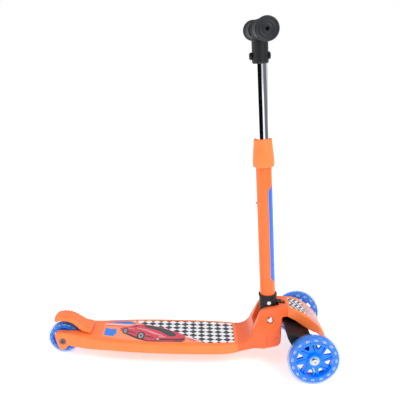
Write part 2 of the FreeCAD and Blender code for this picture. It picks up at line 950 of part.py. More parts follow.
def core_section(radius):
    """Half of the core's section: hub with bearing seats, web, rim and the flange in the tyre."""
    rim = radius * s.wheel_rim_share
    web = half_wheel * 0.28
    lip = half_wheel - 1
    flange = radius - 5
    half_flange = s.flange_half_width
    bore = bearing_seat
    return [
        (bore, -half_wheel),
        (hub_radius, -half_wheel),
        (hub_radius + 1.5, -web),
        (rim - 3.2, -web),
        (rim - 3, -lip),
        (rim, -lip),
        (rim, -half_flange),
        (flange, -half_flange),
        (flange, half_flange),
        (rim, half_flange),
        (rim, lip),
        (rim - 3, lip),
        (rim - 3.2, web),
        (hub_radius + 1.5, web),
        (hub_radius, half_wheel),
        (bore, half_wheel),
        (bore, bearing_inner),
        (s.bearing_radius - 2, bearing_inner),
        (s.bearing_radius - 2, -bearing_inner),
        (bore, -bearing_inner),
    ]


def make_core(radius):
    """The moulded core: eight swirled windows, a slit in each spoke and slots in its flange."""
    body = turned(core_section(radius))
    rim = radius * s.wheel_rim_share
    outer = rim - 3.4
    inner = hub_radius + (outer - hub_radius) * 0.4
    window = [
        (*polar(outer, 24), outer),
        polar(outer, -2),
        polar(inner, 9),
        polar(inner + 1, 18),
    ]
    slit = [
        (*polar(outer, -9.5), outer),
        polar(outer, -13),
        polar(hub_radius + 3, 4),
        polar(hub_radius + 3, 9),
    ]
    flange_width = radius - 5 - rim
    low = rim + flange_width * 0.25
    high = rim + flange_width * 0.75
    half = radius * 0.075
    slot = [(half, low), (half, high), (-half, high), (-half, low)]
    pattern_pocket(body, window, s.window_count)
    pattern_pocket(body, slit, s.window_count)
    pattern_pocket(body, slot, s.slot_count)
    return body


def make_tyre(radius):
    """The clear tyre, cast round the core's rim and flange."""
    rim = radius * s.wheel_rim_share + s.fit
    flange = radius - 5 + s.fit
    half_flange = s.flange_half_width + s.fit
    tread = 7
    side = half_wheel - 0.5
    return turned([
        (rim, -side),
        (radius - tread, -half_wheel, tread),
        (radius, -half_wheel + tread),
        (radius, half_wheel - tread, tread),
        (radius - tread, half_wheel),
        (rim, side),
        (rim, half_flange),
        (flange, half_flange),
        (flange, -half_flange),
        (rim, -half_flange),
    ])


def outer_ring(side):
    """A ball bearing's outer ring with its two shields."""
    low = bearing_inner
    high = bearing_inner + s.bearing_width
    shield = s.ring_radius + s.running_gap
    race = s.bearing_radius - 2
    section = [
        (shield, low),
        (s.bearing_radius, low),
        (s.bearing_radius, high),
        (shield, high),
        (shield, high - 0.8),
        (race, high - 0.8),
        (race, low + 0.8),
        (shield, low + 0.8),
    ]
    if side == RIGHT:
        section = [(radius, -level) for radius, level in reversed(section)]
    return turned(section)


def make_lights(radius):
    """Four light blocks in the flange's slots."""
    rim = radius * s.wheel_rim_share
    flange_width = radius - 5 - rim
    middle = rim + flange_width * 0.5
    deep = s.flange_half_width - 1
    blocks = []
    for number in range(4):
        angle = number * 90
        x, z = (middle * math.sin(math.radians(angle)), middle * math.cos(math.radians(angle)))
        sides = (radius * 0.06, flange_width * 0.2)
        across, up = reversed(sides) if number % 2 else sides
        blocks.append(box((x - across, -deep, z - up), (x + across, deep, z + up)))
    return group(*blocks)


def make_wheel(name, radius, at):
    """A wheel's turning pieces, each drawn about its own axle and carried to its place."""
    pieces = (
        ("tyre", make_tyre(radius)),
        ("core", make_core(radius)),
        ("outer_rings", group(outer_ring(RIGHT), outer_ring(LEFT))),
        ("lights", make_lights(radius)),
    )
    for piece, item in pieces:
        node(f"{name}_{piece}", place(item, at))


def inner_rings(y):
    """The two inner rings that stand still on an axle."""
    starts = (y - bearing_inner - s.bearing_width, y + bearing_inner)
    return [(start, s.bearing_width) for start in starts]


def axle_ring(radius, start, length, x, z):
    return ring(radius, s.bolt_radius + s.fit, length, (x, start, z), ALONG_Y)


def make_inner_rings(x, z, centres):
    rings = []
    for centre in centres:
        for start, length in inner_rings(centre):
            rings.append(axle_ring(s.ring_radius, start, length, x, z))
    return group(*rings)


make_wheel("rear", rear_radius, (rear_x, 0, rear_radius))
make_wheel("right", front_radius, (front_x, -s.front_track / 2, front_radius))
make_wheel("left", front_radius, (front_x, s.front_track / 2, front_radius))

# rear axle
axle_seat = s.tail_half_width - 5


def make_rear_bolt():
    shank = cylinder(s.bolt_radius, axle_seat * 2 + 5, (rear_x, -axle_seat, rear_radius), ALONG_Y)
    head = cylinder(6.2, 3.5, (rear_x, -axle_seat - 3.5, rear_radius), ALONG_Y)
    socket = hexagon(5, 3, (rear_x, -axle_seat - 4, rear_radius), ALONG_Y)
    return cut(fuse(shank, head), socket)


def nut(flats, length, at, turn):
    """A hexagon nut with a plain bore."""
    bore = cylinder(s.bolt_radius + s.fit, as_size(length) + 2, (0, 0, -1))
    return place(cut(hexagon(flats, length), bore), at, turn)


node("rear_axle_bolt", make_rear_bolt())
node("rear_axle_nut", nut(nut_flats, 4.5, (rear_x, axle_seat, rear_radius), ALONG_Y))
node("rear_inner_rings", make_inner_rings(rear_x, rear_radius, [as_size(0)]))


def make_rear_spacers():
    """A sleeve between the rear bearings, and one from each bearing to the tail's wall."""
    outside = bearing_inner + s.bearing_width
    rest = tail_slot_half - outside
    spans = [(-bearing_inner, bearing_inner * 2), (-tail_slot_half, rest), (outside, rest)]
    return group(*[axle_ring(s.ring_radius, start, length, rear_x, rear_radius) for start, length in spans])


node("rear_axle_spacers", make_rear_spacers())


# ---- truck ------------------------------------------------------------------------------------


def from_kingpin(x, z):
    return (kingpin_x + x, kingpin_z + z)


def from_axle(x, z):
    return (front_x + x, front_radius + z)


def arm_profile():
    """An arm's side view: from under the hood down to the eye round the axle."""
    eye = s.eye_radius
    return [
        from_kingpin(-20, -7),
        from_kingpin(-12, -21),
        (*from_axle(-eye * 0.7, -eye * 0.714), eye),
        (*from_axle(eye * 0.3, -eye * 0.954), eye),
        (*from_axle(eye, 0), eye * 1.6),
        from_kingpin(38, -20),
        (*from_kingpin(22, -10), 90),
        from_kingpin(-20, 3.5),
    ]


def centre_profile():
    """The truck's middle, clear of the heel behind it and of the hood above it."""
    return [
        from_kingpin(-14.5, -22),
        from_kingpin(8, -44),
        from_kingpin(34, -44),
        from_kingpin(44, -26),
        from_kingpin(38, -20),
        from_kingpin(22, -10),
        from_kingpin(-14.5, 3),
    ]


def make_truck():
    """One black moulding: a hub round the kingpin and an arm to each front wheel."""
    arms = slab("XZ_Plane", arm_profile(), s.arm_length * 2)
    between = prism("XZ_Plane", arm_profile(), s.arm_inner * 2, midplane=True)
    middle = slab("XZ_Plane", centre_profile(), s.arm_inner * 2 + 1)
    hub = on_kingpin(cylinder(s.hub_radius, s.hub_length, (0, 0, s.hub_length / -2)))
    bore = on_kingpin(cylinder(s.bolt_radius + 2.5 + s.fit, 140, (0, 0, -70)))
    relief = s.hub_radius - 1
    recesses = [
        on_kingpin(cylinder(relief, 60, (0, 0, s.hub_length / -2 - 60))),
        on_kingpin(cylinder(relief, 60, (0, 0, s.hub_length / 2))),
    ]
    axle = cylinder(s.bolt_radius + s.fit, 260, (front_x, -130, front_radius), ALONG_Y)
    inside = cylinder(8, arm_face * 2, (front_x, -arm_face, front_radius), ALONG_Y)
    return cut(fuse(cut(arms, between), middle, hub), bore, axle, inside, *recesses)


arm_face = s.arm_inner + 22


def make_front_bolt(side):
    """A wheel's axle bolt: domed head outside, nut end in the arm's recess."""
    outside = s.front_track / 2 + half_wheel - s.bearing_recess
    start = arm_face - 6
    length = outside - start
    low = start if side == LEFT else -start - length
    shank = cylinder(s.bolt_radius, length, (front_x, low, front_radius), ALONG_Y)
    head_low = outside if side == LEFT else -outside - 4
    head = cylinder(6.5, 4, (front_x, head_low, front_radius), ALONG_Y)
    hex_low = outside + 1.5 if side == LEFT else -outside - 5
    return cut(fuse(shank, head), hexagon(5, 3.5, (front_x, hex_low, front_radius), ALONG_Y))


def make_front_spacers():
    """Sleeves between each wheel's bearings, and washers between the inner bearing and the arm."""
    centre = s.front_track / 2
    washer = centre - bearing_inner - s.bearing_width - s.arm_length
    items = []
    for side in (RIGHT, LEFT):
        start = centre * side - bearing_inner
        items.append(axle_ring(s.ring_radius, start, bearing_inner * 2, front_x, front_radius))
        low = s.arm_length if side == LEFT else -s.arm_length - washer
        items.append(axle_ring(s.ring_radius, low, washer, front_x, front_radius))
    return group(*items)


node("truck_beam", make_truck())
node("right_axle_bolt", make_front_bolt(RIGHT))
node("left_axle_bolt", make_front_bolt(LEFT))
front_nuts = [
    nut(nut_flats, 5, (front_x, -arm_face + s.fit, front_radius), ALONG_Y),
    nut(nut_flats, 5, (front_x, arm_face - 5 - s.fit, front_radius), ALONG_Y),
]
node("front_axle_nuts", group(*front_nuts))
node("front_inner_rings", make_inner_rings(front_x, front_radius, [-s.front_track / 2, s.front_track / 2]))
node("front_spacers", make_front_spacers())

half_hub = s.hub_length / 2
bush = ring(s.bolt_radius + 2.5, s.bolt_radius + s.fit, s.hub_length, (0, 0, -half_hub))
node("truck_bush", on_kingpin(bush))


def make_kingpin():
    """The kingpin bolt, from its head over the upper bushing down to its nut in the nose."""
    shank = cylinder(s.bolt_radius, upper_stack + 2 - (nut_start - 2), (0, 0, nut_start - 2))
    head = hexagon(nut_flats, 5, (0, 0, upper_stack + 2))
    return on_kingpin(fuse(shank, head))


def bushing(start):
    """One of the two rubber cushions that bring the truck back to the middle."""
    radius = s.boss_radius + 1
    return on_kingpin(ring(radius, s.bolt_radius + s.fit, s.bushing_thickness, (0, 0, start)))


node("kingpin_bolt", make_kingpin())
node("kingpin_nut", on_kingpin(nut(nut_flats, nut_length, (0, 0, nut_start), ALONG_Z)))
node("kingpin_washer", on_kingpin(ring(washer_radius, s.bolt_radius + s.fit, 2, (0, 0, upper_stack))))
node("lower_bushing", bushing(-half_hub - s.running_gap - s.bushing_thickness))
node("upper_bushing", bushing(half_hub + s.running_gap))


# ---- stem, drawn upright about the fold pin ----------------------------------------------------

button_low = 8
button_high = 32
button_reach = 38
socket_bolt_level = 37
collar_gap = 0.6
bush_length = 90
bolt_flat = 23


def make_socket():
    """The black socket: it turns on the fold pin and grips the foot of the outer tube."""
    upright = cylinder(s.socket_radius, s.socket_height + s.socket_radius, (0, 0, -s.socket_radius))
    knuckle = fuse(
        cylinder(s.socket_radius, s.socket_radius * 2, (0, -s.socket_radius, 0), ALONG_Y),
        box((-s.socket_radius, -s.socket_radius, 0), (s.socket_radius, s.socket_radius, s.socket_height)),
    )
    rim = cylinder(s.socket_radius + 1.5, 5, (0, 0, s.socket_height - 5))
    half_button = s.button_width / 2 + s.running_gap
    tools = [
        cylinder(s.outer_tube_radius + s.fit, s.socket_height, (0, 0, s.socket_floor)),
        cylinder(s.pin_radius + s.fit, 60, (0, -30, 0), ALONG_Y),
        cylinder(3 + s.fit, 60, (0, -30, socket_bolt_level), ALONG_Y),
        box((5, -half_button, button_low - s.running_gap), (30, half_button, button_high + s.running_gap)),
    ]
    return cut(fuse(common(upright, knuckle), rim), *tools)


def make_outer_tube():
    tube = ring(s.outer_tube_radius, tube_bore, s.outer_tube_top - s.socket_floor, (0, 0, s.socket_floor))
    tools = [
        cylinder(3 + s.fit, 60, (0, -30, socket_bolt_level), ALONG_Y),
        cylinder(s.height_pin_radius + s.running_gap, 30, (-30, 0, s.height_pin_level), ALONG_X),
    ]
    for y in (-8, 8):
        tools.append(cylinder(2 + s.fit, 12, (screw_start, y, s.collar_bottom + 9), ALONG_X))
    return cut(tube, *tools)


def make_stripe():
    """The long film on the tube's front, with rounded ends."""
    outside = s.outer_tube_radius + s.film
    half = s.outer_tube_radius * 0.92
    length = s.stripe_top - s.stripe_bottom
    sleeve = ring(outside, s.outer_tube_radius, length, (0, 0, s.stripe_bottom))
    front = fuse(
        box((4, -half, s.stripe_bottom + half), (30, half, s.stripe_top - half)),
        cylinder(half, 26, (4, 0, s.stripe_bottom + half), ALONG_X),
        cylinder(half, 26, (4, 0, s.stripe_top - half), ALONG_X),
    )
    return common(sleeve, front)


def make_socket_bolt():
    shank = cylinder(3, bolt_flat * 2 - 2, (0, -bolt_flat + 2, socket_bolt_level), ALONG_Y)
    head = cylinder(4.5, 2.5, (0, -bolt_flat, socket_bolt_level), ALONG_Y)
    return fuse(shank, head)


def make_socket_nut():
    body = hexagon(8, 2.4, (0, s.socket_radius + s.fit, socket_bolt_level), ALONG_Y)
    return cut(body, cylinder(3 + s.fit, 60, (0, -30, socket_bolt_level), ALONG_Y))


def make_collar():
    """The orange collar that hides the joint between the two tubes; it narrows towards its top."""
    height = s.collar_top - s.collar_bottom
    crown = s.collar_radius - 3.5
    section = [
        (s.outer_tube_radius + s.fit, 0),
        (s.collar_radius - 2, 0, 2.2),
        (s.collar_radius, 2),
        (s.collar_radius, 16),
        (crown, height - 9),
        (crown, height - 3, 3.2),
        (crown - 3, height),
        (inner_tube_radius + collar_gap, height),
        (inner_tube_radius + collar_gap, s.outer_tube_top - s.collar_bottom + s.fit),
        (s.outer_tube_radius + s.fit, s.outer_tube_top - s.collar_bottom + s.fit),
    ]
    shell = place(turned(section), (0, 0, s.collar_bottom), FreeCAD.Rotation(V(1, 0, 0), 90))
    screws = [cylinder(2 + s.fit, 30, (-28, y, s.collar_bottom + 9), ALONG_X) for y in (-8, 8)]
    return cut(shell, fuse(*screws))


def make_collar_screws():
    """Two small screws in the collar's back that bite into the outer tube."""
    items = []
    for y in (-8, 8):
        shank = cylinder(2, 7, (screw_start, y, s.collar_bottom + 9), ALONG_X)
        items.append(shank)
    return group(*items)


def make_tube_bushing():
    """The sleeve in the top of the outer tube that guides the inner tube."""
    start = s.outer_tube_top - bush_length
    sleeve = ring(tube_bore - s.fit, inner_tube_radius + 0.1, bush_length, (0, 0, start))
    return sleeve


def make_button():
    """The release button: a wedge in front of the socket, hollow behind for its spring."""
    inner = s.outer_tube_radius + s.button_travel + 0.5
    wedge = [
        (inner, button_low),
        (button_reach, button_low),
        (button_reach - 6, button_high),
        (inner, button_high),
    ]
    block = slab("XZ_Plane", wedge, s.button_width)
    middle = (button_low + button_high) / 2
    return cut(block, cylinder(3.4, 8, (s.outer_tube_radius, 0, middle), ALONG_X))


def make_height_pin():
    """The spring pin on the back of the outer tube that holds the bar at its height."""
    tip = inner_tube_radius + s.running_gap
    start = -s.outer_tube_radius - 2.6
    shank = cylinder(s.height_pin_radius, -start - tip, (start, 0, s.height_pin_level), ALONG_X)
    button = cone(2.2, s.height_pin_radius, 0.8, (start - 0.8, 0, s.height_pin_level), ALONG_X)
    return fuse(shank, button)


node("socket", on_stem(make_socket()))
node("outer_tube", on_stem(make_outer_tube()))
node("tube_stripe", on_stem(make_stripe()))
node("socket_bolt", on_stem(make_socket_bolt()))
node("socket_nut", on_stem(make_socket_nut()))
node("collar", on_stem(make_collar()))
node("collar_screws", on_stem(make_collar_screws()))
node("tube_bushing", on_stem(make_tube_bushing()))
node("release_button", on_stem(make_button()))
node("height_pin", on_stem(make_height_pin()))
spring_start = s.outer_tube_radius + 0.5
spring_length = 6.8
spring_level = (button_low + button_high) / 2
spring = coil(as_size(2.4), 0.4, as_size(spring_length), 6, (spring_start, 0, spring_level), ALONG_X)
node("release_spring", on_stem(spring))


# ---- handlebar, drawn on the same axis ---------------------------------------------------------

tube_end = bar_level - 18
tube_start = s.height_pin_level - 22


def make_inner_tube():
    """The bright tube that slides in the stem, with a row of holes for the height pin."""
    length = tube_end - tube_start
    tube = ring(inner_tube_radius, inner_tube_radius - s.inner_tube_wall, length, (0, 0, tube_start))
    tools = [cylinder(3 + s.fit, 60, (-30, 0, bar_level - s.neck_bolt_drop), ALONG_X)]
    for number in range(4):
        level = s.height_pin_level + s.height_step * number
        tools.append(cylinder(s.height_pin_radius + s.running_gap, 20, (-20, 0, level), ALONG_X))
    return cut(tube, *tools)


def make_tube_plug():
    """The nylon foot of the inner tube, which keeps it central in the outer tube."""
    foot = cylinder(tube_bore - s.running_gap, 12, (0, 0, tube_start - 12 - s.fit))
    stub = cylinder(inner_tube_radius - s.inner_tube_wall - s.fit, 24, (0, 0, tube_start - 12 - s.fit))
    return fuse(foot, stub)


def make_head():
    """The T-shaped head: a neck over the inner tube and a cross bar inside the grips."""
    half = s.bar_width / 2 - 8
    hub = s.grip_inner - 0.3
    neck = cylinder(s.neck_radius, bar_level - neck_bottom, (0, 0, neck_bottom))
    flare = cone(s.neck_radius - 1.5, s.neck_radius + 0.6, 4, (0, 0, neck_bottom - 4))
    cross = cylinder(s.bar_radius, half * 2, (0, -half, bar_level), ALONG_Y)
    middle = cylinder(s.grip_radius - 1, hub * 2, (0, -hub, bar_level), ALONG_Y)
    lowest = neck_bottom - 5
    tools = [
        cylinder(inner_tube_radius + s.fit, tube_end + s.fit - lowest, (0, 0, lowest)),
        cylinder(3 + s.fit, 60, (-30, 0, bar_level - s.neck_bolt_drop), ALONG_X),
    ]
    return cut(fuse(neck, flare, cross, middle), *tools)


def make_neck_bolt():
    """The bolt through the neck and the tube, with a round head in front."""
    level = bar_level - s.neck_bolt_drop
    seat = s.neck_radius + s.fit
    shank = cylinder(3, seat * 2, (-seat, 0, level), ALONG_X)
    head = cylinder(8, 3, (seat, 0, level), ALONG_X)
    dome = cone(8, 5.5, 1.4, (seat + 3, 0, level), ALONG_X)
    return fuse(shank, head, dome)


def make_neck_nut():
    level = bar_level - s.neck_bolt_drop
    seat = -s.neck_radius - s.fit * 2
    cap = cylinder(8, 4, (seat - 4, 0, level), ALONG_X)
    dome = cone(5.5, 8, 1.8, (seat - 5.8, 0, level), ALONG_X)
    return fuse(cap, dome)


def make_grip(side):
    """A rubber grip with a wide safety flange at its outer end."""
    end = s.bar_width / 2
    flange = s.grip_flange_radius
    bore = s.bar_radius + s.fit
    body = s.grip_radius
    section = [
        (bore, s.grip_inner),
        (body + 2, s.grip_inner, 1.6),
        (body + 3, s.grip_inner + 1.2),
        (body + 3, s.grip_inner + 4),
        (body, s.grip_inner + 6),
        (body, end - 9, -4),
        (flange - 1, end - 5.5),
        (flange, end - 4, 3),
        (flange - 2.5, end, 3),
        (flange - 4, end - 0.8),
        (9, end - 0.8),
        (8, end),
        (4, end),
        (4, end - 8 + s.fit),
        (bore, end - 8 + s.fit),
    ]
    if side == RIGHT:
        section = [(radius, -as_size(y), *bend) for radius, y, *bend in reversed(section)]
        section = shifted_bends(section)
    return place(turned(section), (0, 0, bar_level))


def shifted_bends(corners):
    """After an outline is reversed, each bend moves to the corner that its edge now leaves."""
    bends = [corner[2:] for corner in corners[1:]] + [corners[0][2:]]
    return [(*corner[:2], *bend) for corner, bend in zip(corners, bends)]


node("inner_tube", on_stem(make_inner_tube()))
node("tube_plug", on_stem(make_tube_plug()))
node("t_head", on_stem(make_head()))
node("neck_bolt", on_stem(make_neck_bolt()))
node("neck_nut", on_stem(make_neck_nut()))
node("right_grip", on_stem(make_grip(RIGHT)))
node("left_grip", on_stem(make_grip(LEFT)))


# ---- check and write --------------------------------------------------------------------------

doc.recompute()
failed = [item.Label for item in doc.Objects if {"Invalid", "Error"} & set(item.State)]
assert not failed, failed
os.makedirs("parts", exist_ok=True)
for name, item in NODES.items():
    assert not item.Shape.isNull() and item.Shape.isValid(), name
    item.Shape.exportStep(f"parts/{name}.step")
print(len(NODES), "pieces written")
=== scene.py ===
# %% [markdown]
# # A child's kick scooter
#
# The scooter has two front wheels on a tilting truck, one rear wheel under a foot brake, a folding
# stem and a bar that telescopes. The measured model comes first and stays where it is. Blender adds
# what measuring can't: softened edges, printed films, clear tyres and the feel of each surface.

# %% Load the measured model
import json
import math

import bmesh
import bpy
from mathutils import Matrix, Vector


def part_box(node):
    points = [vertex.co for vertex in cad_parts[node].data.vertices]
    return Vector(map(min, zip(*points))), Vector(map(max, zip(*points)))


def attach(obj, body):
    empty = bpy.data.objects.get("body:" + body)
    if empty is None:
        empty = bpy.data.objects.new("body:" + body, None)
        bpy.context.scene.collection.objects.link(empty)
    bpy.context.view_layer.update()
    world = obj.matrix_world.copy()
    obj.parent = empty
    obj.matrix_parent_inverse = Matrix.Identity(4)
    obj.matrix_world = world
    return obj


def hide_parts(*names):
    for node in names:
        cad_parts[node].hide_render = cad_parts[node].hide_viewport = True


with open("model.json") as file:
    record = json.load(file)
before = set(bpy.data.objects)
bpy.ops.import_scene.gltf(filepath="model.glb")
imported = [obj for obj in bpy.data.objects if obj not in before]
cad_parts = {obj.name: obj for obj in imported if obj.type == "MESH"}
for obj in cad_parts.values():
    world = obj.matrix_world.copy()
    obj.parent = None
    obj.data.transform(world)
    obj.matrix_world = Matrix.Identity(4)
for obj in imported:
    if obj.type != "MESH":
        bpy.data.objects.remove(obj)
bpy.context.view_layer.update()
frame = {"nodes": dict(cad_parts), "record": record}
NODES = frame["nodes"]
MM = 0.001
print("pieces in the measured model:", len(NODES))

# %% [markdown]
# ## Three small helpers for materials
#
# Colours are easiest to choose as sRGB hex values, but shaders work in linear light, so one function
# converts them. A second function adds any shader node with its settings and its links, which keeps
# each recipe short. The third starts a material from a Principled shader.


# %% Colour, node and material helpers
def linear(hex_colour, alpha=1.0):
    channels = [int(hex_colour[i:i + 2], 16) / 255 for i in (1, 3, 5)]
    return [c / 12.92 if c <= 0.04045 else ((c + 0.055) / 1.055) ** 2.4 for c in channels] + [alpha]


def add(tree, kind, inputs=None, **settings):
    made = tree.nodes.new(kind)
    for key, value in settings.items():
        setattr(made, key, value)
    for key, value in (inputs or {}).items():
        if isinstance(value, bpy.types.NodeSocket):
            tree.links.new(value, made.inputs[key])
        else:
            made.inputs[key].default_value = value
    return made


def new_finish(name, colour, values=None):
    material = bpy.data.materials.new(name)
    material.use_nodes = True
    tree = material.node_tree
    tree.nodes.clear()
    surface = add(tree, "ShaderNodeBsdfPrincipled")
    surface.inputs["Base Color"].default_value = linear(colour)
    for key, value in (values or {}).items():
        surface.inputs[key].default_value = value
    add(tree, "ShaderNodeOutputMaterial", {"Surface": surface.outputs[0]})
    return material, tree, surface


# %% [markdown]
# ## Grain
#
# A moulded or coated surface is never a perfect mirror: tool marks, fine spark texture and orange
# peel break up its reflections. Noise in object coordinates gives both a slight change of colour and
# a bump. Its scale is worked out from the real size of the grain, and a grain finer than can be seen
# is drawn coarser.


# %% Grain helper
def grain(tree, surface, size_mm, depth_mm, colours=None, roughness=None, stretch=(1, 1, 1)):
    place = add(tree, "ShaderNodeTexCoord")
    across = add(tree, "ShaderNodeMapping", {"Vector": place.outputs["Object"], "Scale": stretch})
    fine = add(tree, "ShaderNodeTexNoise", {
        "Vector": across.outputs[0], "Scale": 1 / (size_mm * MM), "Detail": 3.0, "Roughness": 0.6})
    bump = add(tree, "ShaderNodeBump", {
        "Height": fine.outputs["Fac"], "Distance": depth_mm * MM, "Strength": 0.8})
    tree.links.new(bump.outputs[0], surface.inputs["Normal"])
    broad = add(tree, "ShaderNodeTexNoise", {
        "Vector": place.outputs["Object"], "Scale": 1 / (28 * MM), "Detail": 4.0})
    if colours:
        mix = add(tree, "ShaderNodeMix", {"Factor": broad.outputs["Fac"]}, data_type="RGBA")
        mix.inputs["A"].default_value = linear(colours[0])
        mix.inputs["B"].default_value = linear(colours[1])
        tree.links.new(mix.outputs["Result"], surface.inputs["Base Color"])
    if roughness:
        spread = add(tree, "ShaderNodeMapRange", {
            "Value": broad.outputs["Fac"], "From Min": 0.3, "From Max": 0.7,
            "To Min": roughness[0], "To Max": roughness[1]})
        tree.links.new(spread.outputs[0], surface.inputs["Roughness"])
    return bump


# %% [markdown]
# ## The finishes
#
# Each material is named for what the real surface is. Polypropylene is satin, nylon is duller or
# glossier by its mould, and plated steel is a mirror with faint cloudiness. A cast polyurethane tyre is
# clear: an alpha of 0.27 lets the rim inside it show through, and its pale azure is the core's colour,
# which the clear ring carries outwards as a lens does.

# %% Moulded plastics
orange_pp, tree, surface = new_finish("polypropylene_orange_moulded", "#FF7E3A", {"IOR": 1.49})
grain(tree, surface, 0.9, 0.025, ("#FF7835", "#FF8643"), (0.34, 0.44))

deep_pp, tree, surface = new_finish("polypropylene_orange_deep", "#F9662B", {"IOR": 1.49})
grain(tree, surface, 0.9, 0.025, ("#F46026", "#FD6D32"), (0.34, 0.44))

black_nylon, tree, surface = new_finish(
    "nylon_black_moulded", "#191C20", {"IOR": 1.53, "Specular IOR Level": 0.3})
grain(tree, surface, 0.8, 0.03, ("#16191C", "#1F2327"), (0.42, 0.55))

# A darker copy of the black nylon for the truck's beam, with the same grain size as the moulded nylon.
beam_nylon, tree, surface = new_finish(
    "nylon_black_darker", "#14171A", {"IOR": 1.53, "Specular IOR Level": 0.2})
grain(tree, surface, 0.8, 0.03, ("#101315", "#191C20"), (0.4, 0.52))

azure_nylon, tree, surface = new_finish(
    "nylon_azure_glossy", "#0080FA", {"IOR": 1.53, "Specular IOR Level": 0.35})
grain(tree, surface, 2.0, 0.01, ("#007AF4", "#0288FF"), (0.16, 0.24))

capsule, tree, surface = new_finish("polycarbonate_light_capsule", "#F4EEF4", {"IOR": 1.58})
grain(tree, surface, 1.2, 0.03, ("#F7E9F0", "#FFFFFF"), (0.12, 0.25))

# %% Clear polyurethane for the tyres
clear_pu, tree, surface = new_finish("polyurethane_clear_cast", "#5C9CE6", {
    "IOR": 1.5, "Roughness": 0.08, "Specular IOR Level": 0.35, "Alpha": 0.27})
grain(tree, surface, 3.0, 0.02)

# %% Metals
chrome, tree, surface = new_finish("steel_chrome_plated", "#EDEEF0", {"Metallic": 1.0})
grain(tree, surface, 4.0, 0.001, None, (0.03, 0.07))

zinc, tree, surface = new_finish("steel_zinc_plated", "#C8CBD0", {"Metallic": 1.0})
grain(tree, surface, 0.7, 0.012, ("#BFC3C9", "#D6D8DB"), (0.22, 0.38))

ground_steel, tree, surface = new_finish("steel_ground_bearing", "#B9BCC0", {"Metallic": 1.0})
grain(tree, surface, 0.5, 0.006, ("#A9ACB1", "#C9CBCE"), (0.2, 0.3))

powder_coat, tree, surface = new_finish("steel_powder_coated_orange", "#FF6D26", {"IOR": 1.5})
grain(tree, surface, 1.6, 0.02, ("#FF6821", "#FF742D"), (0.26, 0.34))

black_steel, tree, surface = new_finish("steel_black_oxide", "#1A1B1D", {"Metallic": 0.6})
grain(tree, surface, 0.7, 0.01, ("#151618", "#222326"), (0.32, 0.45))

dull_steel, tree, surface = new_finish("steel_phosphate_dull", "#6E6F72", {"Metallic": 1.0})
grain(tree, surface, 0.6, 0.01, ("#5C5D60", "#7C7D80"), (0.35, 0.5))

# %% Rubbers
black_rubber, tree, surface = new_finish("rubber_black_bushing", "#17191B", {"IOR": 1.52})
grain(tree, surface, 1.2, 0.05, ("#141618", "#1E2022"), (0.6, 0.75))

# %% [markdown]
# ## Grip rubber
#
# The grips are soft thermoplastic rubber with a pebbled skin. The pebbles are a Voronoi pattern at
# about a millimetre and a half, drawn a little coarser than life so that they still show.

# %% Grip rubber
grip_rubber, tree, surface = new_finish(
    "rubber_grip_pebbled", "#1F2226", {"IOR": 1.52, "Specular IOR Level": 0.35})
grain(tree, surface, 1.0, 0.05, ("#1B1E22", "#272B30"), (0.45, 0.58))
place = add(tree, "ShaderNodeTexCoord")
pebbles = add(tree, "ShaderNodeTexVoronoi", {"Vector": place.outputs["Object"], "Scale": 1 / (2.2 * MM)})
pebble_bump = add(tree, "ShaderNodeBump", {
    "Height": pebbles.outputs["Distance"], "Distance": 0.35 * MM, "Strength": 0.7}, invert=True)
tree.links.new(pebble_bump.outputs[0], surface.inputs["Normal"])

# %% [markdown]
# ## Printed films
#
# The board carries a film with a chequered flag behind a generic racing car. The flag is a checker
# texture turned by 45 degrees, kept to one side of a slanting line, and the rest of the film shows the
# orange board through it, painted lighter and pinker in soft patches as a painted reflection of the
# bright room on its top. The hood's film has chevrons, folded left and right by a ping-pong function,
# that fade into red and grey streaks.

# %% Board film
CHECK_SIDE_MM = 14.2
LINE_START = (-139 * MM, 47 * MM)
LINE_SLOPE = 0.572
film_deck, tree, surface = new_finish("film_printed_board_and_painted_sheen", "#FFFFFF", {"IOR": 1.5, "Roughness": 0.32})
place = add(tree, "ShaderNodeTexCoord")
turned = add(tree, "ShaderNodeMapping", {
    "Vector": place.outputs["Object"], "Location": (0.0, 0.0, 0.5),
    "Rotation": (0.0, 0.0, math.radians(45)), "Scale": (1.0, 1.12, 0.0)})
checks = add(tree, "ShaderNodeTexChecker", {
    "Vector": turned.outputs[0], "Scale": 1 / (CHECK_SIDE_MM * MM),
    "Color1": linear("#1F2C3A"), "Color2": linear("#F1F1F6")})
split = add(tree, "ShaderNodeSeparateXYZ", {"Vector": place.outputs["Object"]})
slant = add(tree, "ShaderNodeMath", {0: split.outputs["X"], 1: LINE_SLOPE,
                                     2: split.outputs["Y"]}, operation="MULTIPLY_ADD")
beyond = add(tree, "ShaderNodeMath", {0: slant.outputs[0],
                                      1: LINE_START[1] + LINE_SLOPE * LINE_START[0]},
             operation="GREATER_THAN")
# Painted reflection: the board's orange under the film is drawn lighter and pinker, in soft patches,
# where the bright room reflects in the top.
sheen_patches = add(tree, "ShaderNodeTexNoise", {"Vector": place.outputs["Object"], "Scale": 1 / (60 * MM)})
board_and_painted_sheen = add(tree, "ShaderNodeMix", {"Factor": sheen_patches.outputs["Fac"]}, data_type="RGBA")
board_and_painted_sheen.inputs["A"].default_value = linear("#FF8A4C")
board_and_painted_sheen.inputs["B"].default_value = linear("#FF9C78")
flag = add(tree, "ShaderNodeMix", {"Factor": beyond.outputs[0]}, data_type="RGBA")
tree.links.new(board_and_painted_sheen.outputs["Result"], flag.inputs["A"])
tree.links.new(checks.outputs["Color"], flag.inputs["B"])
tree.links.new(flag.outputs["Result"], surface.inputs["Base Color"])

